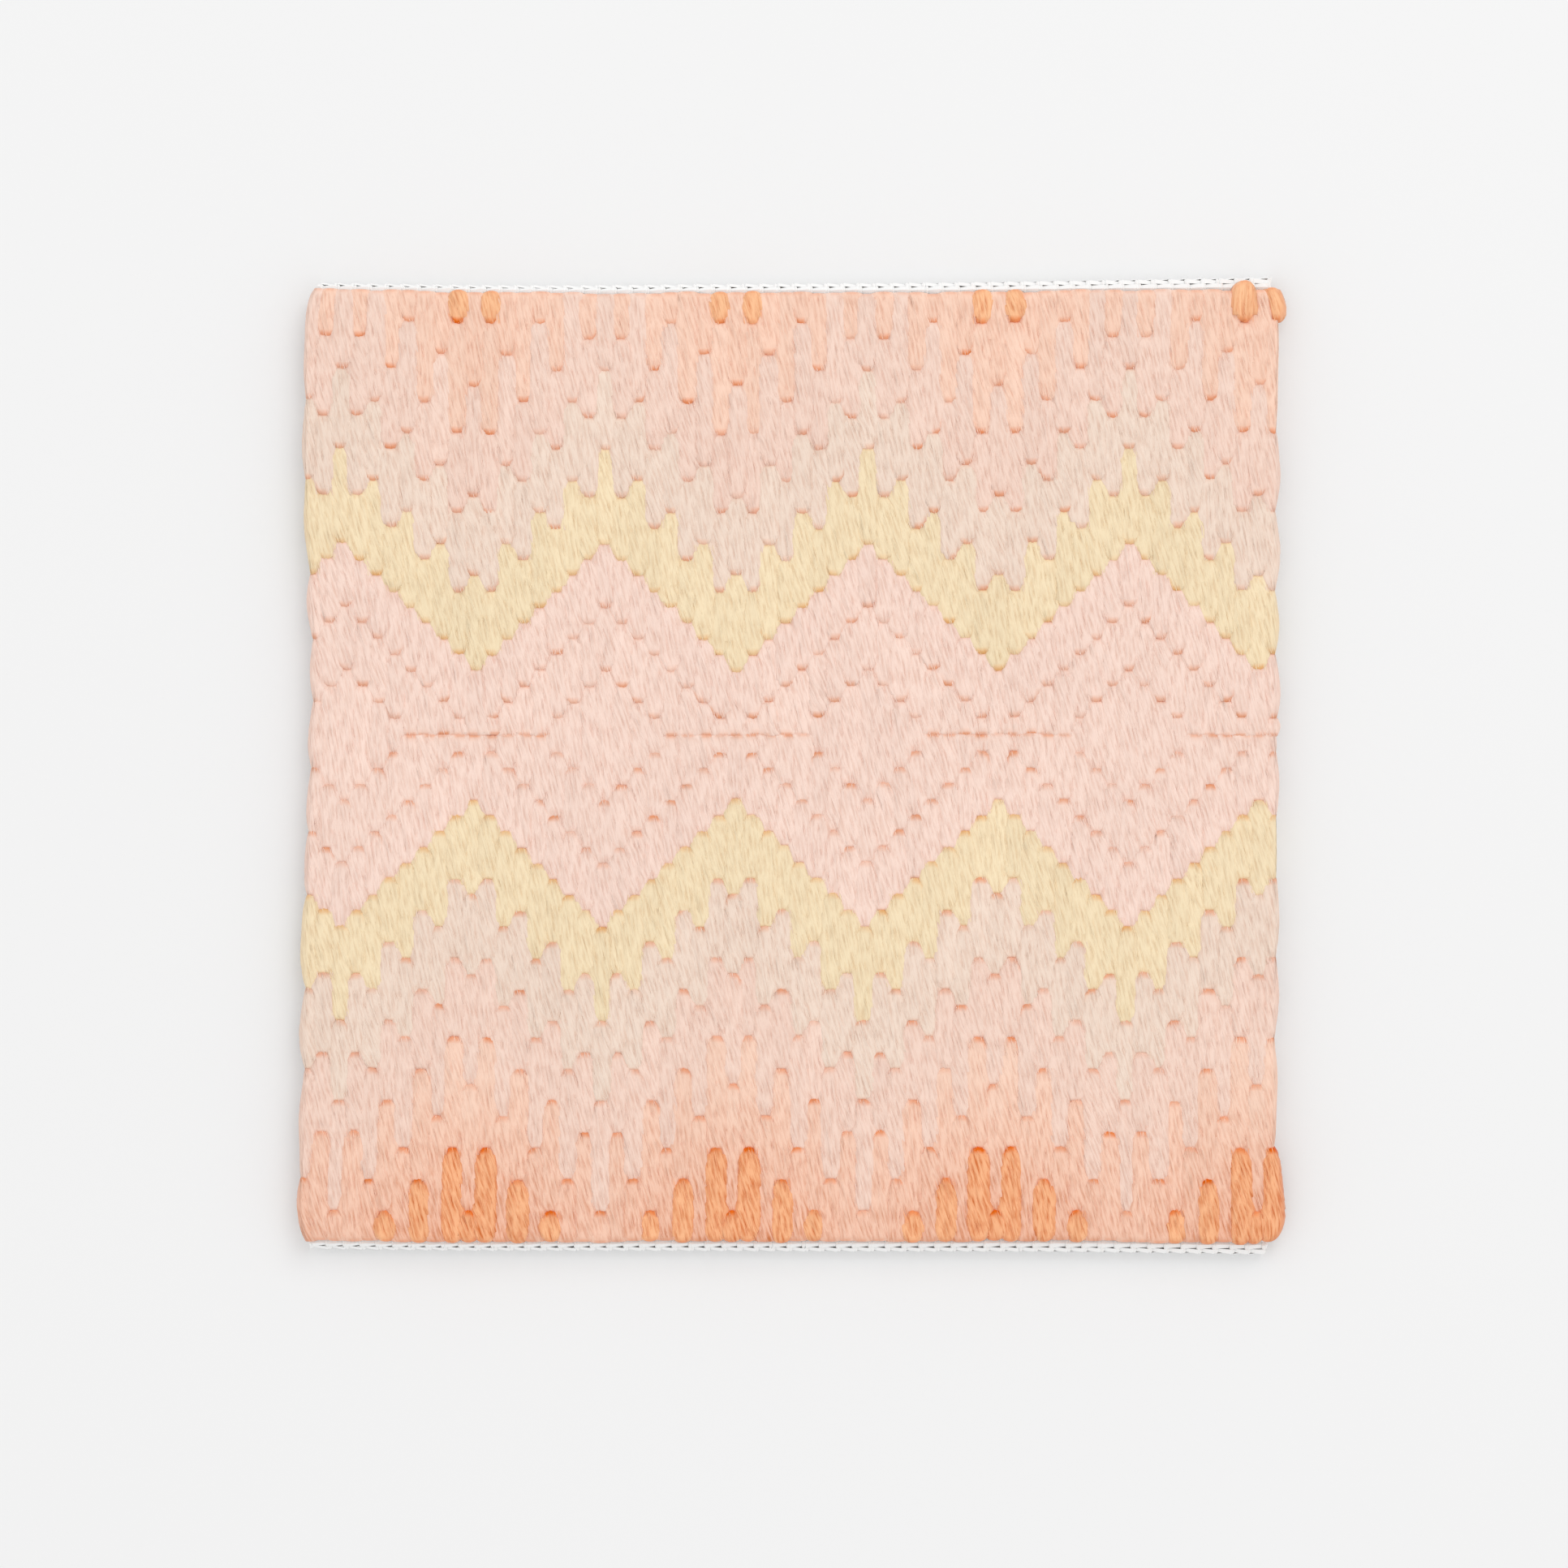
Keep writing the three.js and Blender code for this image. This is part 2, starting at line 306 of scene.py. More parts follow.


# %% [markdown]
# ## The skin of many stitches
# The creases are what makes a row of stitches look like wool. They come and go along the yarn,
# each ply in its own rhythm, because the plies cross and hide each other. The same waves are
# painted on the points as shade, so that the material can deepen the colour where a crease is deep.

# %% Bundles of plies
SLANT_TURN = 0.046
SLANT_SPREAD = 0.010
UNEVEN_PLIES = 0.35
RING_MIDDLE = 0.35
SLOWEST_PACE = 0.7
PACE_SPREAD = 1.3
SWELLING_PACE = 0.8
STEADY_CREASE = 0.25
SWELLING_DEPTH = 0.3
SWELLING_TONE = 0.45


def plied_skin(middle, reach, top_height, along, plies, per_ply, crease_depth, rng, turning=1.0):
    """Skins of n bundles: points (n, rings, around, 3), then each point's crease, tone and place across.

    A ring point is middle + (v * reach, height of the top there), pulled towards the ring's own middle by
    the depth of its crease, which swells and fades as sine waves along the ply. A turning of 0 keeps the
    plies straight.
    """
    count = len(middle)
    around = plies * per_ply
    slant = turning * (SLANT_TURN + SLANT_SPREAD * rng.standard_normal((count, 1)))
    phase = rng.random((count, 1))
    ring_points = (np.arange(around) + UNEVEN_PLIES * rng.uniform(-1, 1, (count, 1, around))) / around
    v, on_top = ring_places(ring_points + (phase + slant * middle[:, :, 1])[:, :, None])
    left, right = reach
    across = np.where(v > 0, right[:, :, None], left[:, :, None]) * v
    top = top_height(across)
    up = np.where(on_top, top, -FOOT_THICKNESS)

    pace = SLOWEST_PACE + PACE_SPREAD * rng.random((count, 1, plies))
    waver = rng.random((count, 1, plies)) * 2 * np.pi
    opening = np.repeat(0.5 + 0.5 * np.sin(pace * along[:, :, None] + waver), per_ply, axis=2)
    swelling = np.repeat(np.sin(SWELLING_PACE * pace * along[:, :, None] - waver), per_ply, axis=2)
    in_crease = np.arange(around) % per_ply == 0
    crease = in_crease * opening
    depth = crease_depth * (crease + STEADY_CREASE * in_crease + SWELLING_DEPTH * swelling) * on_top

    highest = top.max(axis=(1, 2), keepdims=True)
    from_middle = up - RING_MIDDLE * highest
    shrink = 1 - depth * np.clip(top / highest, 0, 1) / (np.sqrt(across ** 2 + from_middle ** 2) + 1e-6)
    x = middle[:, :, :1] + across * shrink
    y = np.broadcast_to(middle[:, :, 1:], x.shape)
    height = RING_MIDDLE * highest + from_middle * shrink
    tone = rng.standard_normal((count, 1, 1)) + SWELLING_TONE * swelling
    return np.stack([x, y, height], axis=-1), crease, tone, across


def domed(distance, size, least=0.0):
    """A rise from least to 1 over the given size, as a quarter of a circle."""
    return least + (1 - least) * np.sqrt(1 - (1 - np.clip(distance / size, 0, 1)) ** 2)


# %% Faces of the bundles
BUNDLE_SHIFT = 7.31


def bundle_faces(count, rings, around):
    """Corners of the side quads and end triangles of bundles of rings x around points and two poles."""
    ring, point = np.meshgrid(np.arange(rings - 1), np.arange(around), indexing="ij")
    after = (point + 1) % around
    quads = np.stack([
        ring * around + point, ring * around + after,
        (ring + 1) * around + after, (ring + 1) * around + point,
    ], axis=-1).reshape(-1, 4)
    here = np.arange(around)
    beyond = (here + 1) % around
    last = (rings - 1) * around
    triangles = np.concatenate([
        np.stack([np.full(around, rings * around), beyond, here], axis=-1),
        np.stack([np.full(around, rings * around + 1), last + here, last + beyond], axis=-1),
    ])
    offsets = (np.arange(count) * (rings * around + 2))[:, None, None]
    return (quads[None] + offsets).reshape(-1, 4), (triangles[None] + offsets).reshape(-1, 3)


def bundle_uv(along, around, per_ply):
    """Yarn places of the quads' corners: plies across and mm along, shifted for each bundle."""
    ring, point = np.meshgrid(np.arange(along.shape[1] - 1), np.arange(around), indexing="ij")
    ply = np.stack([point, point + 1, point + 1, point], axis=-1) / per_ply
    place = np.stack([along[:, ring], along[:, ring], along[:, ring + 1], along[:, ring + 1]], axis=-1)
    place = place + (np.arange(len(along)) * BUNDLE_SHIFT)[:, None, None, None]
    return np.stack([np.broadcast_to(ply, place.shape), place], axis=-1).reshape(-1, 2)


# %% A group of bundles as arrays
def bundle_arrays(points, painted, along, per_ply, poles=None):
    """Bundles with a pole at each end: points, paint, quads, triangles and the corners' yarn places."""
    count, rings, around = points.shape[:3]
    if poles is None:
        poles = points[:, [0, -1]].mean(axis=2)
    points = np.concatenate([points.reshape(count, -1, 3), poles], axis=1)
    painted = np.concatenate([painted.reshape(count, -1, 4), painted[:, [0, -1]].mean(axis=2)], axis=1)
    quads, triangles = bundle_faces(count, rings, around)
    return {
        "points": points.reshape(-1, 3), "painted": painted.reshape(-1, 4), "quads": quads,
        "triangles": triangles, "quad_uv": bundle_uv(along, around, per_ply),
    }


def add_bundles(name, groups, place):
    """One object from several groups of bundle arrays; place moves the points to where they lie."""
    starts = np.cumsum([0] + [len(group["points"]) for group in groups[:-1]])
    points = place(np.concatenate([group["points"] for group in groups]))
    quads = np.concatenate([group["quads"] + start for group, start in zip(groups, starts)])
    triangles = np.concatenate([group["triangles"] + start for group, start in zip(groups, starts)])
    quad_uv = np.concatenate([group["quad_uv"] for group in groups])
    if inside_out(points, quads):
        quads, triangles = quads[:, ::-1], triangles[:, ::-1]
        quad_uv = quad_uv.reshape(-1, 4, 2)[:, ::-1].reshape(-1, 2)
    corner_uv = np.concatenate([quad_uv, np.zeros((triangles.size, 2))])
    painted = np.concatenate([group["painted"] for group in groups])
    flat = [np.full(len(group["triangles"]), len(group["quads"]) == 0) for group in groups]
    flat = np.concatenate([np.zeros(len(quads), bool), *flat])
    return add_piece(name, points, quads, triangles, corner_uv, painted, flat)


# %% [markdown]
# ## Room between the columns
# Two stitches share each hole of a column, and there the wool is drawn in. The stitches of the
# next columns have their holes at other heights, so they spread into that room, and the wool
# closes over the canvas. This cell measures how near the closest hole of a column is.

# %% Holes of the columns
PINCH_REACH = 2.2
PINCH_POWER = 0.8
NO_HOLE = 1000.0

hole_heights = [[] for _ in range(COLUMNS)]
for courses in chart.values():
    for rows in courses:
        for column, inner, outer in rows:
            hole_heights[column] += [row_height(inner), row_height(outer)]
most_holes = max(len(heights) for heights in hole_heights)
hole_heights = np.array([heights + [NO_HOLE] * (most_holes - len(heights)) for heights in hole_heights])
print("most stitch ends in a column:", most_holes)


def pinch(distance):
    """How far wool is drawn in near its hole: 1 - sin(pi/2 * distance / 2.2)^0.8, and 0 past 2.2 mm."""
    return 1 - np.sin(np.pi / 2 * np.clip(distance / PINCH_REACH, 0, 1)) ** PINCH_POWER


def pinch_beside(column, y):
    """The pinch of the wool in a neighbouring column at the heights y, and 0 past the last column."""
    real = (column >= 0) & (column < COLUMNS)
    heights = hole_heights[np.clip(column, 0, COLUMNS - 1)]
    distance = np.abs(y[:, :, None] - heights[:, None, :]).min(axis=2)
    return pinch(distance) * real[:, None]


# %% [markdown]
# ## The wool of the face
# Each stitch runs outwards from the hole nearer the centre line. It was worked after the one
# inside it, so its inner end is a neat rounded tip on top of its neighbour, while its outer end
# is tucked under the next one. At the top and bottom edge it turns over the fold at full width.
# The columns at the two sides have nothing beside them: they swell out and hang over the fold.

# %% How far the wool goes at the edges
EDGE_REACH = {"upper": 0.3, "lower": 0.2, "centre": 0.0}
ORANGE_REACH = {"upper": 0.6, "lower": 0.35}
ORANGE_FULLNESS = 1.08
LOOSE_STITCH = 57
LOOSE_REACH = 1.0
LOOSE_FULLNESS = 1.38
LAST_FULLNESS = 0.5


def edge_reach(name, column):
    """How far wool goes past the last hole row of an edge: orange goes further, and one stitch is loose."""
    yarn, half = name.split("_")
    if yarn != "orange":
        return EDGE_REACH[half]
    return ORANGE_REACH[half] + LOOSE_REACH * ((column == LOOSE_STITCH) & (half == "upper"))


def fullness(name, column):
    """How full the wool is: 1, orange 1.08, the loose stitch more and the one beside it less."""
    if not name.startswith("orange"):
        return np.ones(column.shape)
    upper = name.endswith("upper")
    full = np.where((column == LOOSE_STITCH) & upper, LOOSE_FULLNESS, ORANGE_FULLNESS)
    return np.where((column == COLUMNS - 1) & upper, LAST_FULLNESS, full)


# %% Each stitch as numbers
# Curves and domes are lengths along the stitch. UNEVEN holds standard deviations.
FACE_HEIGHT = 1.60
TIP_OVERLAP = 0.15
CENTRE_OVERLAP = 0.32
TUCK_UNDER = 0.6
START_CURVE = 0.75
START_DOME = 0.5
CENTRE_CURVE = 0.08
CENTRE_DOME = 0.35
ORANGE_START_CURVE = 1.1
EDGE_CURVE = 0.3
EDGE_DOME = 1.1
EDGE_NARROWING = 0.2
ORANGE_EDGE_CURVE = 1.3
ORANGE_EDGE_DOME = 0.7
TUCKED_DOME = 0.35
END_HALF_WIDTH = 1.7
LEAST_RISE = -0.05
# Painted shade at the tip of a stitch, where the wool dips into its hole: its strength, a little less on
# the centre line, and its range.
CENTRE_TIP_SHADE = 0.95
TIP_SHADE = 0.95
TIP_SHADE_RANGE = (0.45, 1.4)
FREE_ORANGE = 0.9
UNEVEN = {
    "start": 0.08, "end": 0.11, "height": 0.03, "bow": 0.1,
    "tip_shade": 0.25, "tip_shade_shift": 0.25, "spread": 0.04, "free": 0.3,
}


def uneven(kind, shape, rng):
    """Random differences between single stitches, as a bell curve."""
    return UNEVEN[kind] * rng.standard_normal(shape)


def stitch_facts(column, inner, outer, name, rng):
    """Where each stitch starts and ends and how its ends are shaped, as (n, 1) arrays in mm."""
    count = (len(column), 1)
    column, inner, outer = column[:, None], inner[:, None], outer[:, None]
    side = np.sign(outer - inner)
    at_edge = (outer == ROWS_ABOVE) | (outer == -ROWS_BELOW)
    across_centre = (inner != 0) & (inner == -outer)
    from_centre = inner == 0
    orange = name.startswith("orange")
    full = fullness(name, column)
    start_reach = np.where(across_centre, TUCK_UNDER, np.where(from_centre, CENTRE_OVERLAP, TIP_OVERLAP))
    end_reach = np.where(at_edge, edge_reach(name, column), TUCK_UNDER)
    start = row_height(inner) - side * (start_reach + uneven("start", count, rng))
    end = row_height(outer) + side * (end_reach + uneven("end", count, rng))
    start_curve = np.where(from_centre, CENTRE_CURVE, ORANGE_START_CURVE if orange else START_CURVE)
    end_curve = ORANGE_EDGE_CURVE * full ** 2 if orange else EDGE_CURVE
    end_dome = ORANGE_EDGE_DOME if orange else EDGE_DOME
    tip_shade = np.where(from_centre, CENTRE_TIP_SHADE, 1.0)
    return {
        "name": name, "column": column, "side": side, "start": start, "length": np.abs(end - start),
        "at_edge": at_edge, "across_centre": across_centre, "from_centre": from_centre,
        "full": full, "loose": full == LOOSE_FULLNESS,
        "start_curve": np.where(across_centre, 0.0, start_curve),
        "start_dome": np.where(from_centre | across_centre, CENTRE_DOME, START_DOME),
        "end_curve": np.where(at_edge, end_curve, 0.0),
        "end_width": END_HALF_WIDTH * full,
        "end_dome": np.where(at_edge, end_dome, TUCKED_DOME),
        "end_narrow": np.where(at_edge, EDGE_NARROWING, 0.0),
        "height": FACE_HEIGHT * (1 + np.clip(full - 1, LEAST_RISE, 1) + uneven("height", count, rng)),
        "bow": uneven("bow", count, rng),
        "tip_shade": tip_shade * np.clip(TIP_SHADE + uneven("tip_shade", count, rng), *TIP_SHADE_RANGE),
        "tip_shade_shift": uneven("tip_shade_shift", count, rng),
        "spread": 1 + uneven("spread", (2, *count), rng),
        "free": uneven("free", count, rng) + (FREE_ORANGE if orange else 0),
    }


# %% Width of a stitch
CENTRE_PINCH = 0.2
EDGE_PINCH = 0.3
END_PINCH = 0.8
OVERLAP = 0.8
DRAWN_IN = 1.4
GIVES_ROOM = 0.45
NARROW_LENGTH = 1.5
WIDEST = 1.24
FREE_REACH = {-1: 1.15, 1: 0.95}
FREE_AT_HOLE = 0.1
FREE_POWER_ALONG = 0.6
FREE_WAVER = 0.12
FREE_WAVER_PACE = 0.55
CORNER_ROUND = 2.5
CORNER_LEAST = 0.3


def drawn_in(stitch, along):
    """How far a stitch is drawn in, 0 to 1, at a distance along it: the pinch of the hole at either end."""
    at_start = pinch(along) * np.where(stitch["across_centre"] | stitch["from_centre"], CENTRE_PINCH, 1.0)
    at_end = pinch(stitch["length"] - along) * np.where(stitch["at_edge"], EDGE_PINCH, END_PINCH)
    return np.maximum(at_start, at_end)


def stitch_sides(stitch, along):
    """To the left and to the right: how far the skin reaches, and how far of that it stays at full height.

    The reach is half a column, an overlap and the room that the pinch of the neighbour leaves, which the
    loose stitch doesn't take. A side with no neighbour swells out instead, as sin(pi * share of the
    length)^0.6.
    """
    own = drawn_in(stitch, along)
    y = stitch["start"] + stitch["side"] * along
    to_end = stitch["length"] - along
    share = along / stitch["length"]
    share = np.where(stitch["at_edge"], np.minimum(share, 0.5), share)
    waver = 1 + FREE_WAVER * np.sin(FREE_WAVER_PACE * y + stitch["column"])
    swelling = np.clip(np.sin(np.pi * share), 0, 1) ** FREE_POWER_ALONG * waver
    swelling = swelling * np.where(stitch["at_edge"], domed(to_end, CORNER_ROUND, CORNER_LEAST), 1.0)
    reaches, widths = [], []
    for direction, spread in zip((-1, 1), stitch["spread"]):
        neighbour = stitch["column"] + direction
        free = (neighbour < 0) | (neighbour >= COLUMNS)
        swell = FREE_AT_HOLE + (FREE_REACH[direction] + stitch["free"] - FREE_AT_HOLE) * swelling
        room = GIVES_ROOM * pinch_beside(neighbour[:, 0], y) * (1 - own)
        reach = THREAD_X / 2 + OVERLAP + np.where(stitch["loose"], 0.0, room)
        reach = reach * (1 - stitch["end_narrow"] * (1 - domed(to_end, NARROW_LENGTH)))
        reach = reach * (1 + (np.minimum(stitch["full"], WIDEST) - 1) * np.clip(swelling, 0, 1))
        reaches.append(np.where(free, swell, reach) * spread)
        widths.append(np.where(free, swell, reach - DRAWN_IN * own) * spread)
    return reaches, widths


# %% Height of a stitch
TIP_HALF_WIDTH = 1.15
TOP_POWER = 7.0
FREE_POWER = 3.0
UNDER_TIP = 0.2
UNDER_LENGTH = 1.6


def widened(stitch):
    """The numbers of the stitches as (n, 1, 1) arrays, which fit places (n, rings, points)."""
    return {key: value[..., None] for key, value in stitch.items() if key != "name"}


def end_line(across, curve, half_width):
    """How far the end of a stitch lies back at a place across, along an ellipse as deep as the curve."""
    return curve * (1 - np.sqrt(np.clip(1 - (across / half_width) ** 2, 0, 1)))


def from_the_ends(stitch, along, across):
    """Distances from the curved start and from the curved end, for places (n, rings, points)."""
    wide = widened(stitch)
    along = along[:, :, None]
    from_start = along - end_line(across, wide["start_curve"], TIP_HALF_WIDTH)
    from_end = wide["length"] - along - end_line(across, wide["end_curve"], wide["end_width"])
    return from_start, from_end


def stitch_profile(stitch, across, widths):
    """Share of the full height: sqrt(1 - |across / width|^7), with power 3 on a side with no neighbour."""
    left, right = (width[:, :, None] for width in widths)
    beyond = np.clip(np.abs(across) / np.where(across > 0, right, left), 0, 1)
    column = widened(stitch)["column"]
    free = ((column == 0) & (across < 0)) | ((column == COLUMNS - 1) & (across > 0))
    return np.sqrt(1 - beyond ** np.where(free, FREE_POWER, TOP_POWER))


def stitch_height(stitch, along, across, widths):
    """Height over the canvas: (full height - what is tucked under) * profile * the domes of both ends."""
    from_start, from_end = from_the_ends(stitch, along, across)
    wide = widened(stitch)
    domes = domed(from_start, wide["start_dome"]) * domed(from_end, wide["end_dome"])
    under = (1 - np.clip(from_end / UNDER_LENGTH, 0, 1)) * ~wide["at_edge"]
    under = under + (1 - np.clip(from_start / UNDER_LENGTH, 0, 1)) * wide["across_centre"]
    full_height = wide["height"] - UNDER_TIP * under
    return full_height * stitch_profile(stitch, across, widths) * domes


# %% Dye of the yarns
# For even and for odd steps: the least dye, the dye 50 mm from the middle, and what each mm further
# out adds.
DYE_PLACE = 50.0
DYE_STEPS = 12
DEEPER_DYE = {
    "peach_upper": ((0.0, 0.0, 0.0), (-0.07, -0.07, 0.0)),
    "blush_lower": ((0.0, 0.04, 0.008), (0.0, 0.04, 0.008)),
    "peach_lower": ((-0.08, -0.16, 0.03), (-0.1, -0.05, 0.02)),
    "orange_lower": ((0.26, 0.26, 0.0), (0.26, 0.26, 0.0)),
}


def dyed(name, column, y):
    """How much deeper the dye is at the height y; below 0 it is paler.

    max(least, dye at 50 mm + slope * (|y| - 50)) * (1 - step / 12), so it is strongest where the zigzag
    is lowest.
    """
    if name not in DEEPER_DYE:
        return 0 * y
    on_even, on_odd = (np.maximum(least, at_place + slope * (np.abs(y) - DYE_PLACE))
                       for least, at_place, slope in DEEPER_DYE[name])
    return np.where(even_step[column], on_even, on_odd) * (1 - step[column] / DYE_STEPS)


# %% Paint of a stitch
# A part of the painted shade at the tip, where the wool dips into its hole, is (share, length), and that at
# the tucked end (share, where it starts to fade, length).
TIP_SHADE_AT = 0.6
CENTRE_TIP_SHADE_AT = 0.42
ACROSS_CENTRE_TIP_SHADE = 0.3
NEAR_TIP_SHADE = (0.75, 0.36)
FAR_TIP_SHADE = (0.25, 0.8)
TUCKED_END_SHADE = (0.5, 0.35, 0.3)
TIP_SHADE_HALF_WIDTH = 1.2
TIP_SHADE_SOFTNESS = 0.5
# GROOVE_RISE and DEEPEST_GROOVE set the painted shade in the groove beside the next column.
GROOVE_RISE = 5
DEEPEST_GROOVE = 0.8
TONE_SPREAD = 0.12


def stitch_paint(stitch, along, across, widths, crease, tone):
    """Painted values (tip shade, tone, crease shade, dye) of the points.

    The painted shade at the tip, where the wool dips into its hole, fades behind the line where it starts
    to show, as the sum of a bell curve and of exp(-distance).
    The groove beside the next column gets painted shade as a crease does: it deepens as the profile leaves
    1.
    """
    from_start, from_end = from_the_ends(stitch, along, across)
    wide = widened(stitch)
    behind = np.clip(from_start - np.where(wide["from_centre"], CENTRE_TIP_SHADE_AT, TIP_SHADE_AT), 0, None)
    tip_shade = NEAR_TIP_SHADE[0] * np.exp(-(behind / NEAR_TIP_SHADE[1]) ** 2)
    tip_shade = tip_shade + FAR_TIP_SHADE[0] * np.exp(-behind / FAR_TIP_SHADE[1])
    tip_shade = tip_shade * np.where(wide["across_centre"], ACROSS_CENTRE_TIP_SHADE, wide["tip_shade"])
    share, fades_from, length = TUCKED_END_SHADE
    tucked = share * np.exp(-(np.clip(from_end - fades_from, 0, None) / length) ** 2)
    beside_tip_shade = np.abs(across - wide["tip_shade_shift"])
    tip = np.maximum(tip_shade, tucked) * np.clip((TIP_SHADE_HALF_WIDTH - beside_tip_shade) / TIP_SHADE_SOFTNESS, 0, 1)
    groove = np.clip(GROOVE_RISE * (1 - stitch_profile(stitch, across, widths)), 0, DEEPEST_GROOVE)
    dye = dyed(stitch["name"], stitch["column"], stitch["start"] + stitch["side"] * along)
    dye = np.broadcast_to(dye[:, :, None], crease.shape)
    return np.stack([tip, 0.5 + TONE_SPREAD * tone, np.maximum(crease, groove), dye], axis=-1)


# %% Stitches of the face
FACE_PLIES = 8
FACE_PER_PLY = 2
FACE_CREASE = 0.115
START_RINGS = (0.0, 0.22, 0.5, 0.85, 1.4)
END_RINGS = (1.9, 1.2, 0.7, 0.35, 0.12, 0.0)
LARGEST_SHARE = 0.48
RING_SPACING = 0.5
CLEAR_OF_END = 0.6


def ring_distances(length, threads):
    """Distances of the rings along stitches of so many threads: close at the ends, then two a thread."""
    at_start = np.minimum(START_RINGS, LARGEST_SHARE * length)
    at_end = length - np.minimum(END_RINGS, LARGEST_SHARE * length)
    between = TIP_OVERLAP + THREAD_Y * np.arange(1, threads - CLEAR_OF_END, RING_SPACING) + 0 * length
    return np.concatenate([at_start, between, at_end], axis=1)


def face_bundles(stitch, threads, rng):
    """Stitches of the same number of threads as bundle arrays; a curved end is pulled back to its line."""
    along = ring_distances(stitch["length"], threads)
    x = column_middle[stitch["column"]] + stitch["bow"] * np.sin(np.pi * along / stitch["length"])
    middle = np.stack([x, stitch["start"] + stitch["side"] * along], axis=-1)
    reaches, widths = stitch_sides(stitch, along)
    points, crease, tone, across = plied_skin(
        middle, reaches, lambda across: stitch_height(stitch, along, across, widths),
        along, FACE_PLIES, FACE_PER_PLY, FACE_CREASE, rng, ~stitch["loose"])
    painted = stitch_paint(stitch, along, across, widths, crease, tone)
    _, from_end = from_the_ends(stitch, along, across)
    points[..., 1] += stitch["side"][:, :, None] * np.minimum(from_end, 0)
    return bundle_arrays(points, painted, along, FACE_PER_PLY)


# %% [markdown]
# ## Loose fibres
# Wool is never smooth. Fine fibres lie on it, nearly along the plies, and the lines that they
# draw are what makes a smooth skin look like yarn. Each is a sliver with three sides and two
# points: it rises from the wool, lies on it and sinks in again. Six triangles are enough for one.

# %% Loose fibres
FIBRES_PER_MM = 3.5
FIBRE_RADIUS = 0.055
FIBRE_HALF_LENGTH = (0.6, 1.8)
FIBRE_SLANT = 0.20
FIBRE_SLANT_SPREAD = 0.09
FIBRE_ROOM = 1.4
FIRST_FIBRE = 0.3
CLEAR_START = 0.15
CLEAR_EDGE = 0.9
CLEAR_TUCKED_END = 0.6
FIBRE_RISE = (-0.04, 0.03)
SUNK_ENDS = 0.1
FIBRE_TONE = 0.2
DARKEST_FIBRE = 0.6
SLIVER_RING = ((1.0, -0.3), (0.0, 0.3), (-1.0, -0.3))


def fibre_arrays(stitch, rng):
    """Slivers on stitches of the same number of threads, as bundle arrays of one ring each.

    The two side columns carry none on their outer halves, where the wool falls away.
    """
    count = (len(stitch["length"]), int(FIBRES_PER_MM * stitch["length"].mean()))
    room = stitch["length"] - np.where(stitch["at_edge"], CLEAR_EDGE, CLEAR_TUCKED_END)
    half = rng.uniform(*FIBRE_HALF_LENGTH, count)
    along = FIRST_FIBRE + (room - FIRST_FIBRE) * rng.random(count)
    leftmost = np.where(stitch["column"] == 0, 0.0, -FIBRE_ROOM)
    rightmost = np.where(stitch["column"] == COLUMNS - 1, 0.0, FIBRE_ROOM)
    across = (leftmost + (rightmost - leftmost) * rng.random(count)) * np.minimum(stitch["full"], 1)
    slant = FIBRE_SLANT + FIBRE_SLANT_SPREAD * rng.standard_normal(count)
    ends = np.stack([along - half, along + half], axis=-1)
    ends = np.clip(ends, CLEAR_START, room[:, :, None])
    side = stitch["side"][:, :, None]
    shift = -slant[:, :, None] * side * (ends - along[:, :, None])
    height = stitch["height"] + rng.uniform(*FIBRE_RISE, count)

    middle = column_middle[stitch["column"]]
    poles = np.stack([
        middle[:, :, None] + across[:, :, None] + shift,
        stitch["start"][:, :, None] + side * ends,
        np.broadcast_to((stitch["height"] - SUNK_ENDS)[:, :, None], ends.shape),
    ], axis=-1).reshape(-1, 2, 3)
    around = FIBRE_RADIUS * np.array(SLIVER_RING)
    place_y = stitch["start"] + stitch["side"] * along
    x = (middle + across)[:, :, None] + around[:, 0]
    y = np.broadcast_to(place_y[:, :, None], x.shape)
    z = height[:, :, None] + around[:, 1]
    points = np.stack([x, y, z], axis=-1).reshape(-1, 1, 3, 3)

    dye = dyed(stitch["name"], stitch["column"], place_y)[:, :, None]
    tone = 0.5 + FIBRE_TONE * rng.standard_normal((*count, 1))
    deeper = rng.uniform(0.0, DARKEST_FIBRE, (*count, 1))
    painted = np.stack([0 * dye, tone, deeper, dye], axis=-1)
    painted = np.broadcast_to(painted, (*count, 3, 4)).reshape(-1, 1, 3, 4)
    return bundle_arrays(points, painted, along.reshape(-1, 1), 1, poles)


# %% The face, one piece for each yarn of each half
CLOTH_TOP = 3.55
SIDE_START = 74.4
SIDE_FALL = 1.3
SIDE_REACH = 2.2
CORNER_DRAW = 0.9
CORNER_LENGTH = 6.0
DRAW_START = 70
DRAW_LENGTH = 5


def corner_draw(x, y):
    """The outer columns are drawn in by 0.9 mm * (1 - distance / 6)^2 towards the corners of the panel."""
    near_corner = np.clip((np.abs(y) - HALF_HEIGHT) / CORNER_LENGTH + 1, 0, 1) ** 2
    return CORNER_DRAW * np.sign(x) * near_corner * np.clip((np.abs(x) - DRAW_START) / DRAW_LENGTH, 0, 1)


def onto_the_face(points):
    """Sets the feet on the canvas and applies the lie; the sides hang by 1.3 * ((|x| - 74.4) / 2.2)^2."""
    x, y, z = points.T
    x = x - corner_draw(x, y)
    beyond = np.clip((np.abs(x) - SIDE_START) / SIDE_REACH, 0, 1)
    z = z + CLOTH_TOP - SIDE_FALL * beyond ** 2
    x, y = as_it_lies(x, y)
    return np.stack([x, y, z], axis=-1)


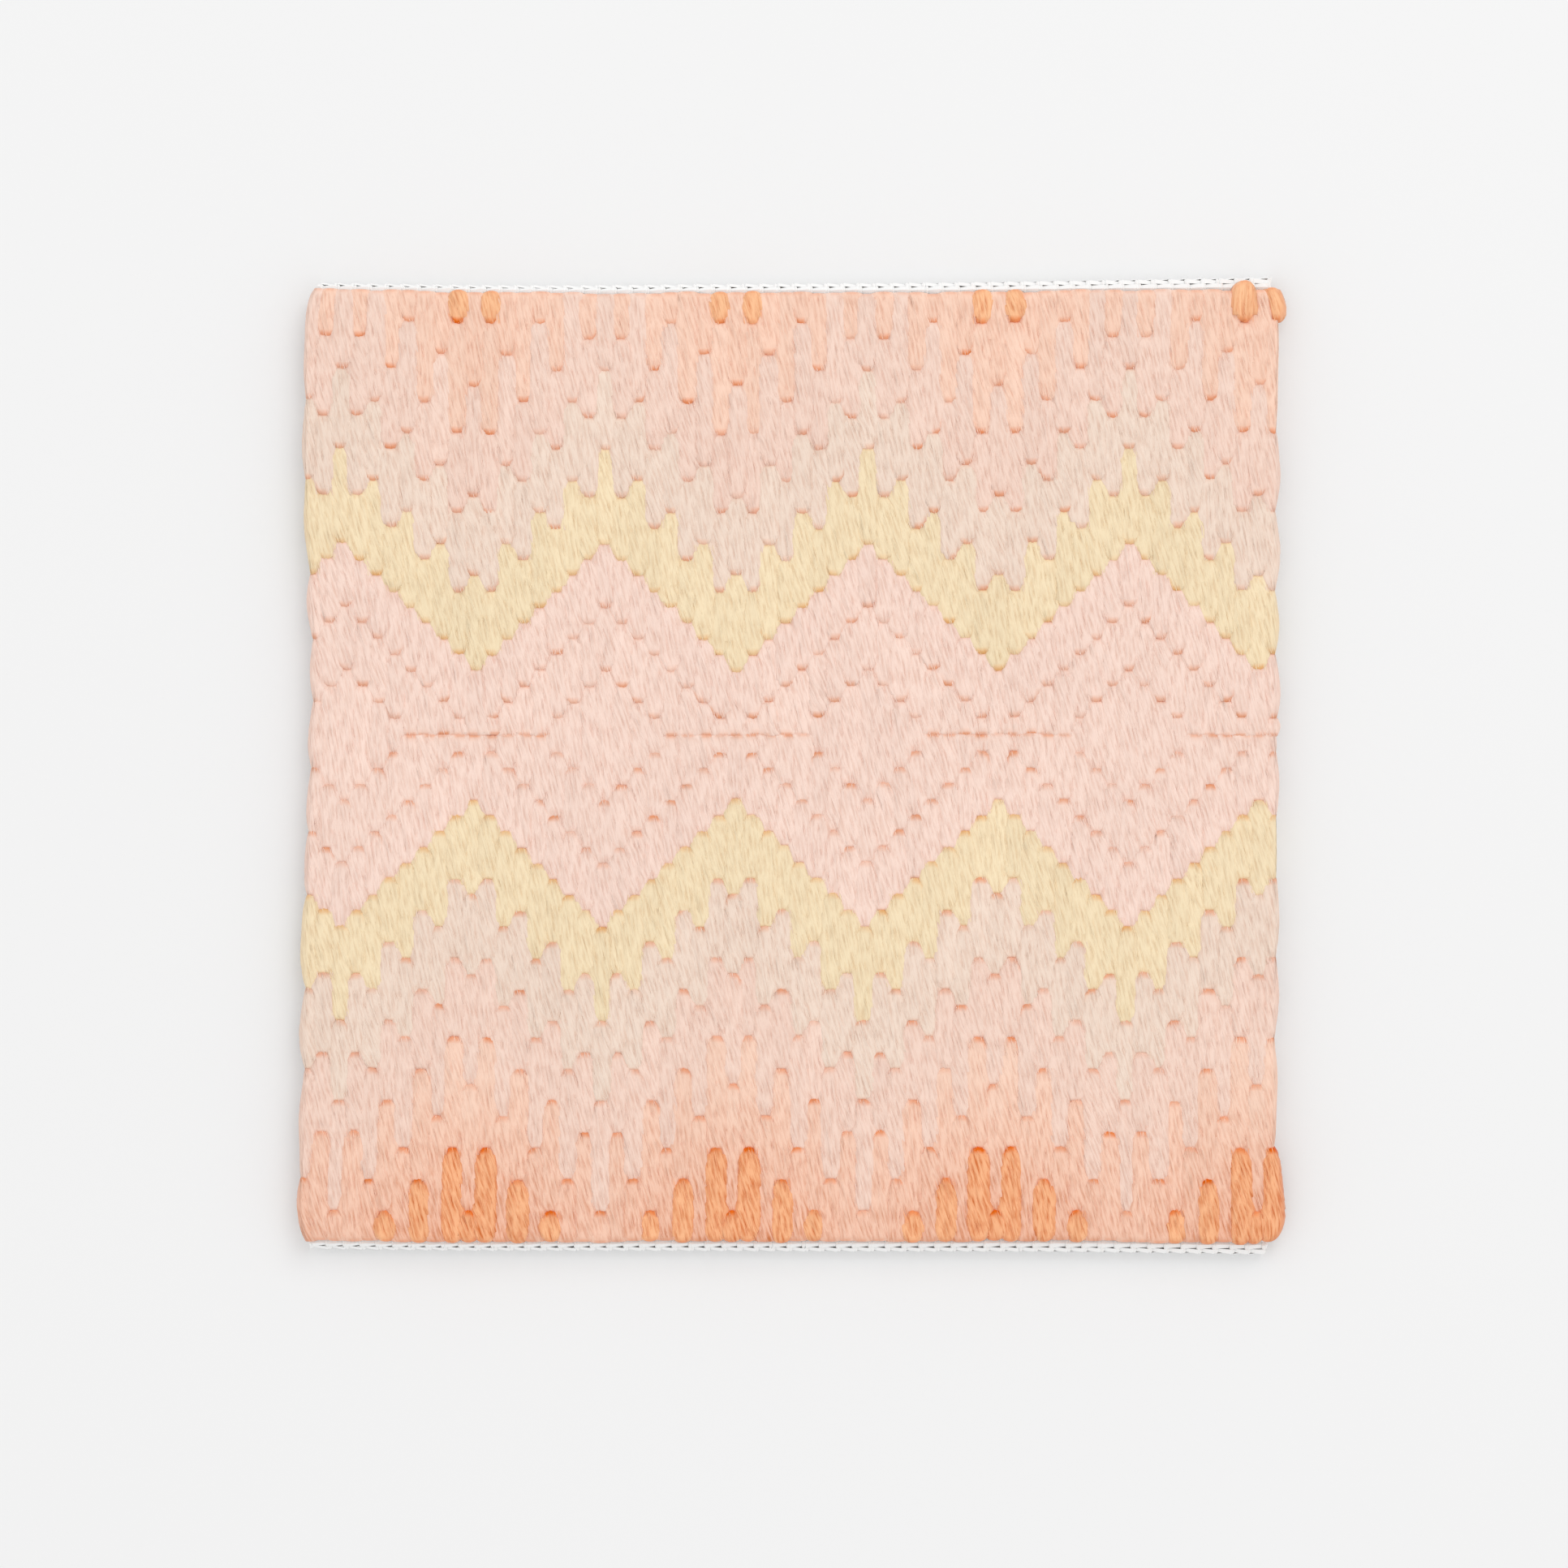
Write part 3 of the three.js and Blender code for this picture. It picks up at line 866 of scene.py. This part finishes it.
for number, (name, courses) in enumerate(chart.items()):
    rng = np.random.default_rng(100 + number)
    column, inner, outer = np.concatenate(courses).T
    threads = np.abs(outer - inner)
    groups = []
    for length in np.unique(threads):
        same = threads == length
        stitch = stitch_facts(column[same], inner[same], outer[same], name, rng)
        groups.append(face_bundles(stitch, length, rng))
        groups.append(fibre_arrays(stitch, rng))
    add_bundles("face_" + name, groups, onto_the_face)
face_pieces = dict(panel_pieces)

# %% [markdown]
# ## The wool on the reverse
# The yarn comes out of the outer hole of one stitch, crosses behind the canvas and comes up
# through the inner hole of the next column. So the back is covered with longer, slanting runs,
# a little looser than the face. They are seen only from below, and have fewer points.

# %% The reverse
CLOTH_UNDERSIDE = 2.7
REVERSE_HEIGHT = 1.3
REVERSE_PLIES = 5
REVERSE_PER_PLY = 2
REVERSE_CREASE = 0.1
REVERSE_REACH = 1.5
REVERSE_RINGS = 6
REVERSE_POWER = 4
REVERSE_PINCH = 0.6
REVERSE_BOW = 0.25
UNEVEN_WIDTH = 0.08
UNEVEN_LIFT = 0.1
RINGS_NEAR_HOLES = 0.6
REVERSE_DOME = 1.2
LEAST_LIFT = 0.2
REVERSE_TIP = 0.1
REVERSE_TONE = 0.16
LONGEST_SKIP = 2
REVERSE_SHARE = 0.98


def reverse_bundles(rows, rng):
    """Runs from the outer hole of each stitch to the inner hole of the next stitch of the same course.

    The height is lift * sqrt(1 - |across / width|^4); width and lift grow away from the holes.
    """
    column, inner, outer = rows.T
    linked_up = np.diff(column) <= LONGEST_SKIP
    start = np.stack([column_middle[column[:-1]], row_height(outer[:-1])], axis=1)[linked_up]
    end = np.stack([column_middle[column[1:]], row_height(inner[1:])], axis=1)[linked_up]
    each = (len(start), 1)
    length = np.linalg.norm(end - start, axis=1)[:, None]
    share = np.linspace(0, 1, REVERSE_RINGS)[None, :]
    share = share - RINGS_NEAR_HOLES * np.sin(2 * np.pi * share) / (2 * np.pi)
    along = length * share
    middle = start[:, None, :] + (end - start)[:, None, :] * share[:, :, None]
    middle[:, :, 0] += REVERSE_BOW * rng.standard_normal(each) * np.sin(np.pi * share)
    nearest = np.minimum(along, length - along)
    width = REVERSE_REACH * (1 - REVERSE_PINCH * pinch(nearest))
    width = width * (1 + UNEVEN_WIDTH * rng.standard_normal(each))
    lift = REVERSE_HEIGHT * (1 + UNEVEN_LIFT * rng.standard_normal(each))
    lift = lift * domed(nearest, REVERSE_DOME, LEAST_LIFT)

    def top_height(across):
        beyond = (across / width[:, :, None]) ** REVERSE_POWER
        return lift[:, :, None] * np.sqrt(np.clip(1 - beyond, 0, 1))

    points, crease, tone, _ = plied_skin(
        middle, (width, width), top_height, along, REVERSE_PLIES, REVERSE_PER_PLY, REVERSE_CREASE, rng)
    # The creases of the reverse carry painted shade, as on the face.
    painted = np.stack([0 * crease + REVERSE_TIP, 0.5 + REVERSE_TONE * tone, crease, 0 * crease], axis=-1)
    return bundle_arrays(points, painted, along, REVERSE_PER_PLY)


def onto_the_reverse(points):
    """Hangs the feet from the canvas's underside; the runs lie a little inside the face at the sides."""
    x, y, z = points.T
    x = REVERSE_SHARE * x
    x, y = as_it_lies(x - corner_draw(x, y), y)
    return np.stack([x, y, CLOTH_UNDERSIDE - z], axis=-1)


for number, yarn in enumerate(("pink", *YARN_LENGTHS)):
    rng = np.random.default_rng(200 + number)
    courses = [rows for name, worked in chart.items() if name.startswith(yarn) for rows in worked]
    add_bundles("reverse_" + yarn, [reverse_bundles(rows, rng) for rows in courses], onto_the_reverse)
reverse_pieces = {name: piece for name, piece in panel_pieces.items() if name.startswith("reverse")}

# %% [markdown]
# ## The folded canvas
# The ground is a double-thread cotton canvas. Its warp threads stand in close pairs between the
# columns, and its weft threads lie at even distances, so the open mesh shows as a row of short
# slits beyond the wool. The margins turn under in a round fold. One function rolls the flat
# canvas into that shape, and every thread is drawn on the flat canvas first.

# %% The fold
CLOTH_MIDDLE = 3.1
FOLD_RADIUS = 1.3
HEM = 17.8
FLAT_ACROSS = 72.9
TOP_FLAT = (0.25, 0.55)
BOTTOM_FLAT = (0.35, 0.35)


def rolled(place, flat):
    """Angle round the fold and place after it: arc / radius past flat, up to half a turn, then back."""
    past = np.clip(np.abs(place) - flat, 0, None)
    angle = np.minimum(past / FOLD_RADIUS, np.pi)
    back = np.clip(past - np.pi * FOLD_RADIUS, 0, None)
    return angle, np.sign(place) * (np.minimum(np.abs(place), flat) - back)


def flat_height(u, v):
    """Where the canvas starts to fold at the top and at the bottom; it drifts from left to right."""
    across = u / HALF_WIDTH
    top = TOP_FLAT[0] + TOP_FLAT[1] * across
    bottom = BOTTOM_FLAT[0] + BOTTOM_FLAT[1] * across
    return HALF_HEIGHT + np.where(v > 0, top, bottom)


def folded(u, v, rise):
    """Flat canvas place (u, v), at a rise above the cloth's middle, to its place in space.

    Past the flat part it goes out by (radius + rise) * sin(angle), and its height falls with cos(angle).
    """
    side_angle, x = rolled(u, FLAT_ACROSS)
    end_angle, y = rolled(v, flat_height(u, v))
    x = x + np.sign(u) * (FOLD_RADIUS + rise) * np.sin(side_angle)
    y = y + np.sign(v) * (FOLD_RADIUS + rise) * np.sin(end_angle)
    z = CLOTH_MIDDLE - FOLD_RADIUS + (FOLD_RADIUS + rise) * np.cos(np.maximum(side_angle, end_angle))
    x, y = as_it_lies(x, y)
    return np.stack([x, y, z], axis=-1)


# %% Threads of the canvas
WARP_THREAD = (0.25, 0.20)
WEFT_THREAD = (0.6, 0.2)
PAIR_GAP = 0.42
WEFT_GAP = THREAD_Y / 2
CLEAR_OF_CUT = 0.4

fold_length = np.pi * FOLD_RADIUS
flat_up = HALF_HEIGHT + TOP_FLAT[0]
cut_across = FLAT_ACROSS + fold_length + HEM
cut_up = flat_up + fold_length + HEM
most_pairs = math.floor(cut_across / THREAD_X)
most_wefts = math.floor(cut_up / WEFT_GAP)
pair_middle = np.arange(-most_pairs, most_pairs + 1)[:, None] * THREAD_X
warp = (pair_middle + np.array([-PAIR_GAP, PAIR_GAP]) / 2).ravel()
weft = (np.arange(-most_wefts, most_wefts + 1) + 0.5) * WEFT_GAP
weft = weft[np.abs(weft) < cut_up - CLEAR_OF_CUT]
print("threads:", len(warp), "warp and", len(weft), "weft")
print("flat cut:", round(2 * cut_across), "x", round(2 * cut_up), "mm")

# %% Where a thread ends and bends
MITRE = 0.6
FRAY = 0.35
INTO_THE_FOLD = 0.9
HIDDEN_UP_TO = 66.0
HIDDEN_STEP = 14.7
FOLD_SAMPLES = 0.55
STATION_GAP = 0.2


def thread_ends(place, flat_of_place, flat_along, rng):
    """How far a thread runs each way: round the fold and along the hem, less the mitre at the corners."""
    past = abs(place) - flat_of_place
    if past <= 0:
        room = min(HEM, flat_of_place - abs(place) + FOLD_RADIUS - MITRE)
        reach = flat_along + fold_length + room
    elif past < fold_length:
        reach = flat_along + INTO_THE_FOLD
    else:
        reach = flat_along + FOLD_RADIUS - MITRE - (past - fold_length)
    return -reach - FRAY * rng.random(), reach + FRAY * rng.random()


def thread_stations(low, high, crossings, flat_along, is_hidden):
    """Places along a thread: its crossings, fewer where wool hides it, and extra ones round the folds."""
    shown = crossings[(np.abs(crossings) > HIDDEN_UP_TO) | (not is_hidden)]
    fold_steps = np.arange(0, fold_length, FOLD_SAMPLES)
    extra = np.concatenate([flat_along + fold_steps, -flat_along - fold_steps])
    if is_hidden:
        extra = np.concatenate([extra, np.arange(-HIDDEN_UP_TO, HIDDEN_UP_TO, HIDDEN_STEP)])
    distance = np.abs(extra[:, None] - shown[None, :]).min(axis=1)
    stations = np.concatenate([shown, extra[distance > STATION_GAP]])
    stations = stations[(stations > low + STATION_GAP) & (stations < high - STATION_GAP)]
    return np.sort(np.concatenate([stations, [low, high]]))


# %% Threads as thin tubes
WEAVE = 0.17
SHORTEST_THREAD = 4
UNDER_WOOL = 1.0
THREAD_SHIFT = 0.05
THREAD_WANDER = 0.04
THREAD_WANDER_PACE = 0.9


def weave_rise(stations, crossings, sign):
    """Height of a thread: it goes over and under in turn, straight from one crossing to the next."""
    over = np.where(np.arange(len(crossings)) % 2 == 0, 1.0, -1.0) * sign * WEAVE
    return np.interp(stations, crossings, over)


def thread_tube(u, v, rise, is_warp):
    """A thin tube with four sides round the line (u, v, rise), as points (stations, 4, 3) in space."""
    corners = np.array([(1, 0), (0, 1), (-1, 0), (0, -1)]) * (WARP_THREAD if is_warp else WEFT_THREAD)
    side, up = corners[:, 0][None, :], corners[:, 1][None, :]
    shift_u, shift_v = (side, 0) if is_warp else (0, side)
    return folded(u[:, None] + shift_u, v[:, None] + shift_v, rise[:, None] + up)


def canvas_threads(places, crossings, is_warp, rng):
    """Tubes of all the threads that run one way, as a list of (stations, 4, 3) arrays."""
    flat_of_place, flat_along = (FLAT_ACROSS, flat_up) if is_warp else (flat_up, FLAT_ACROSS)
    tubes = []
    for number, place in enumerate(places):
        low, high = thread_ends(place, flat_of_place, flat_along, rng)
        if high - low < SHORTEST_THREAD:
            continue
        is_hidden = abs(place) < flat_of_place - UNDER_WOOL
        stations = thread_stations(low, high, crossings, flat_along, is_hidden)
        sign = (1 if number % 2 else -1) * (1 if is_warp else -1)
        rise = weave_rise(stations, crossings, sign)
        shift = THREAD_SHIFT * rng.standard_normal()
        wander = place + shift + THREAD_WANDER * np.sin(THREAD_WANDER_PACE * stations + rng.random() * 6)
        u, v = (wander, stations) if is_warp else (stations, wander)
        tubes.append(thread_tube(u, v, rise, is_warp))
    return tubes


# %% The canvas as one piece
YARN_PLACE_SHIFT = 0.37


def tube_arrays(tubes):
    """Joins tubes of any length: points, quads along them and at their ends, and yarn places."""
    quads, corner_uv, base = [], [], 0
    around = np.arange(4)
    after = (around + 1) % 4
    for tube in tubes:
        rings = len(tube)
        ring = np.arange(rings - 1)[:, None] * 4
        sides = np.stack([ring + around, ring + after, ring + 4 + after, ring + 4 + around], axis=-1)
        caps = np.array([[3, 2, 1, 0], [0, 1, 2, 3]]) + np.array([[0], [(rings - 1) * 4]])
        lengths = np.linalg.norm(np.diff(tube.mean(axis=1), axis=0), axis=1)
        along = np.concatenate([[0], np.cumsum(lengths)]) + base * YARN_PLACE_SHIFT
        turn = np.stack([around, around + 1, around + 1, around], axis=-1) / 4
        turn = np.broadcast_to(turn, (rings - 1, 4, 4))
        place = np.stack([along[:-1], along[:-1], along[1:], along[1:]], axis=-1)[:, None, :]
        corner_uv.append(np.stack([turn, np.broadcast_to(place, turn.shape)], axis=-1).reshape(-1, 2))
        corner_uv.append(np.zeros((caps.size, 2)))
        quads += [sides.reshape(-1, 4) + base, caps + base]
        base += rings * 4
    points = np.concatenate([tube.reshape(-1, 3) for tube in tubes])
    return points, np.concatenate(quads), np.concatenate(corner_uv)


rng = np.random.default_rng(300)
tubes = canvas_threads(warp, weft, True, rng) + canvas_threads(weft, warp, False, rng)
points, quads, corner_uv = tube_arrays(tubes)
if inside_out(points, quads):
    quads = quads[:, ::-1]
    corner_uv = corner_uv.reshape(-1, 4, 2)[:, ::-1].reshape(-1, 2)
no_triangles = np.zeros((0, 3), int)
all_flat = np.ones(len(quads), bool)
canvas = add_piece("canvas_threads", points, quads, no_triangles, corner_uv, flat=all_flat)
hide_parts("canvas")

# %% [markdown]
# ## The finishes
# Wool is matt, with a soft sheen from its fuzz. Painted shade deepens its colour between the plies
# and at the tip of a stitch, where the wool dips into its hole, and each stitch takes the dye a
# little differently. A picture of wool could be laid on, but it would repeat, and its light would
# be fixed. So each finish is a few nodes that read the yarn's own places and the painted values.

# %% Helpers for the nodes
def fill(tree, socket, value):
    """Links another node's output to a socket, or else sets its value."""
    if isinstance(value, bpy.types.NodeSocket):
        tree.links.new(value, socket)
    else:
        socket.default_value = value


def fill_sockets(tree, node, **sockets):
    """Fills the sockets of a node by their names, where _ stands for a space."""
    for name, value in sockets.items():
        fill(tree, node.inputs[name.replace("_", " ")], value)
    return node


def linked(tree, kind, **sockets):
    """A new node of that kind with its sockets filled."""
    return fill_sockets(tree, tree.nodes.new(kind), **sockets)


def maths(tree, operation, first, second):
    """The output of a Math node that works on two values or outputs."""
    node = tree.nodes.new("ShaderNodeMath")
    node.operation = operation
    for socket, value in zip(node.inputs, (first, second)):
        fill(tree, socket, value)
    return node.outputs[0]


def blended(tree, first, second, amount, clamped=True):
    """The colour first + amount * (second - first). Unclamped, an amount below 0 is paler than first."""
    mix = tree.nodes.new("ShaderNodeMix")
    mix.data_type = "RGBA"
    mix.clamp_factor = clamped
    fill_sockets(tree, mix, A=(*first, 1.0), B=(*second, 1.0), Factor=amount)
    return mix.outputs["Result"]


def stretched(tree, vector, scale):
    """Places stretched by the scale, as a Mapping node does it."""
    return linked(tree, "ShaderNodeMapping", Vector=vector, Scale=scale).outputs["Vector"]


def noise(tree, vector, scale, detail):
    """The value of a Noise Texture node at the given places."""
    return linked(tree, "ShaderNodeTexNoise", Vector=vector, Scale=scale, Detail=detail).outputs["Fac"]


def yarn_material(name):
    """A material with its tree, its shader and the yarn places of the piece that wears it."""
    material = bpy.data.materials.new(name)
    material.use_nodes = True
    tree = material.node_tree
    place = tree.nodes.new("ShaderNodeUVMap")
    place.uv_map = "yarn"
    return material, tree, tree.nodes["Principled BSDF"], place.outputs["UV"]


# %% Wool
# Each yarn has a light colour and a deep one, which serves the painted shade and the deeper dye alike.
# Painted shade in a gap between fibres starts where the noise falls to the first value of GAP_RANGE and is
# full at the second.
YARN_COLOURS = {
    "pink": ((0.945, 0.72, 0.625), (0.84, 0.44, 0.30)),
    "yellow": ((0.92, 0.76, 0.515), (0.84, 0.52, 0.26)),
    "cream": ((0.89, 0.72, 0.605), (0.84, 0.47, 0.32)),
    "blush": ((0.92, 0.69, 0.585), (0.84, 0.42, 0.28)),
    "peach": ((0.95, 0.645, 0.505), (0.86, 0.35, 0.19)),
    "orange": ((0.99, 0.56, 0.315), (0.86, 0.24, 0.07)),
}
# YARN_CONTRAST, LINE_DEPTH and LINE_TONE set how strong the painted shade in the creases and in the gaps
# between fibres is.
YARN_CONTRAST = {"orange": 1.6, "peach": 1.1}
FIBRE_STRETCH = (1.0, 0.16, 1.0)
FIBRE_GRAIN = 2.6
MOTTLE_GRAIN = 45.0
GAP_RANGE = (0.50, 0.30)
DYE_IN_LINES = 2.5
LINE_DEPTH = 0.24
LEAST_TONE = 0.96
STITCH_TONE = 0.10
MOTTLE_TONE = 0.06
LINE_TONE = 0.07
WOOL_BUMP = 0.0003


def wool_material(name, light, shade_and_dye_colour, contrast):
    """Light wool, deepened by painted shade at the tip, in the creases and in the gaps between fine fibres
    that run along the plies, and by the dye.
    """
    material, tree, shader, place = yarn_material(name)
    painted = tree.nodes.new("ShaderNodeAttribute")
    painted.attribute_name = "painted"
    dye = painted.outputs["Alpha"]
    values = linked(tree, "ShaderNodeSeparateColor", Color=painted.outputs["Color"]).outputs
    fibres = noise(tree, stretched(tree, place, FIBRE_STRETCH), FIBRE_GRAIN, 3.0)
    mottle = noise(tree, tree.nodes.new("ShaderNodeTexCoord").outputs["Object"], MOTTLE_GRAIN, 2.0)

    # The lines of painted shade come from the gaps between fibres and the painted creases; they are
    # stronger where the dye is deeper, and they darken the tone as well.
    gaps = linked(tree, "ShaderNodeMapRange", Value=fibres, From_Min=GAP_RANGE[0], From_Max=GAP_RANGE[1])
    strength = maths(tree, "ADD", maths(tree, "MULTIPLY", dye, DYE_IN_LINES), contrast)
    lines = maths(tree, "ADD", gaps.outputs["Result"], values["Blue"])
    lines = maths(tree, "MULTIPLY", lines, strength)
    amount = maths(tree, "MAXIMUM", values["Red"], maths(tree, "MULTIPLY", lines, LINE_DEPTH))
    amount = maths(tree, "ADD", amount, dye)
    colour = blended(tree, light, shade_and_dye_colour, amount, clamped=False)

    tone = maths(tree, "ADD", maths(tree, "MULTIPLY", values["Green"], STITCH_TONE), LEAST_TONE)
    tone = maths(tree, "ADD", tone, maths(tree, "MULTIPLY", mottle, MOTTLE_TONE))
    tone = maths(tree, "SUBTRACT", tone, maths(tree, "MULTIPLY", lines, LINE_TONE))
    toned = linked(tree, "ShaderNodeHueSaturation", Value=tone, Color=colour)
    bump = linked(tree, "ShaderNodeBump", Height=fibres, Strength=0.6, Distance=WOOL_BUMP)
    fill_sockets(
        tree, shader, Base_Color=toned.outputs["Color"], Normal=bump.outputs["Normal"],
        Roughness=0.92, Specular_IOR_Level=0.15, Sheen_Weight=0.25, Sheen_Roughness=0.5)
    return material


wool = {yarn: wool_material(yarn + " wool", *colours, YARN_CONTRAST.get(yarn, 1.0))
        for yarn, colours in YARN_COLOURS.items()}
for name, piece in {**face_pieces, **reverse_pieces}.items():
    yarn = name.split("_")[1]
    piece.data.materials.append(wool[yarn])
print("wool:", list(wool))

# %% Cotton
COTTON_LIGHT = (0.97, 0.968, 0.96)
COTTON_DEEP = (0.92, 0.918, 0.91)
STRAND_STRETCH = (2.0, 2.4, 1.0)
STRAND_GRAIN = 2.2
COTTON_BUMP = 0.00008

cotton, tree, shader, place = yarn_material("cotton thread")
twist = noise(tree, stretched(tree, place, STRAND_STRETCH), STRAND_GRAIN, 2.0)
ridges = linked(tree, "ShaderNodeBump", Height=twist, Strength=0.3, Distance=COTTON_BUMP)
colour = blended(tree, COTTON_LIGHT, COTTON_DEEP, twist)
fill_sockets(
    tree, shader, Base_Color=colour, Normal=ridges.outputs["Normal"],
    Roughness=0.85, Specular_IOR_Level=0.2, Sheen_Weight=0.1)
canvas.data.materials.append(cotton)
print("cotton:", cotton.name)

# %% What each piece stands for
for name, piece in face_pieces.items():
    wanted = name.removeprefix("face_")
    if wanted in ("pink_upper", "pink_lower"):
        wanted = "pink_centre"
    nodes = [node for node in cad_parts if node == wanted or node.startswith(wanted + "_")]
    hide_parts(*nodes)
for piece in reverse_pieces.values():
    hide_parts("wool_reverse")
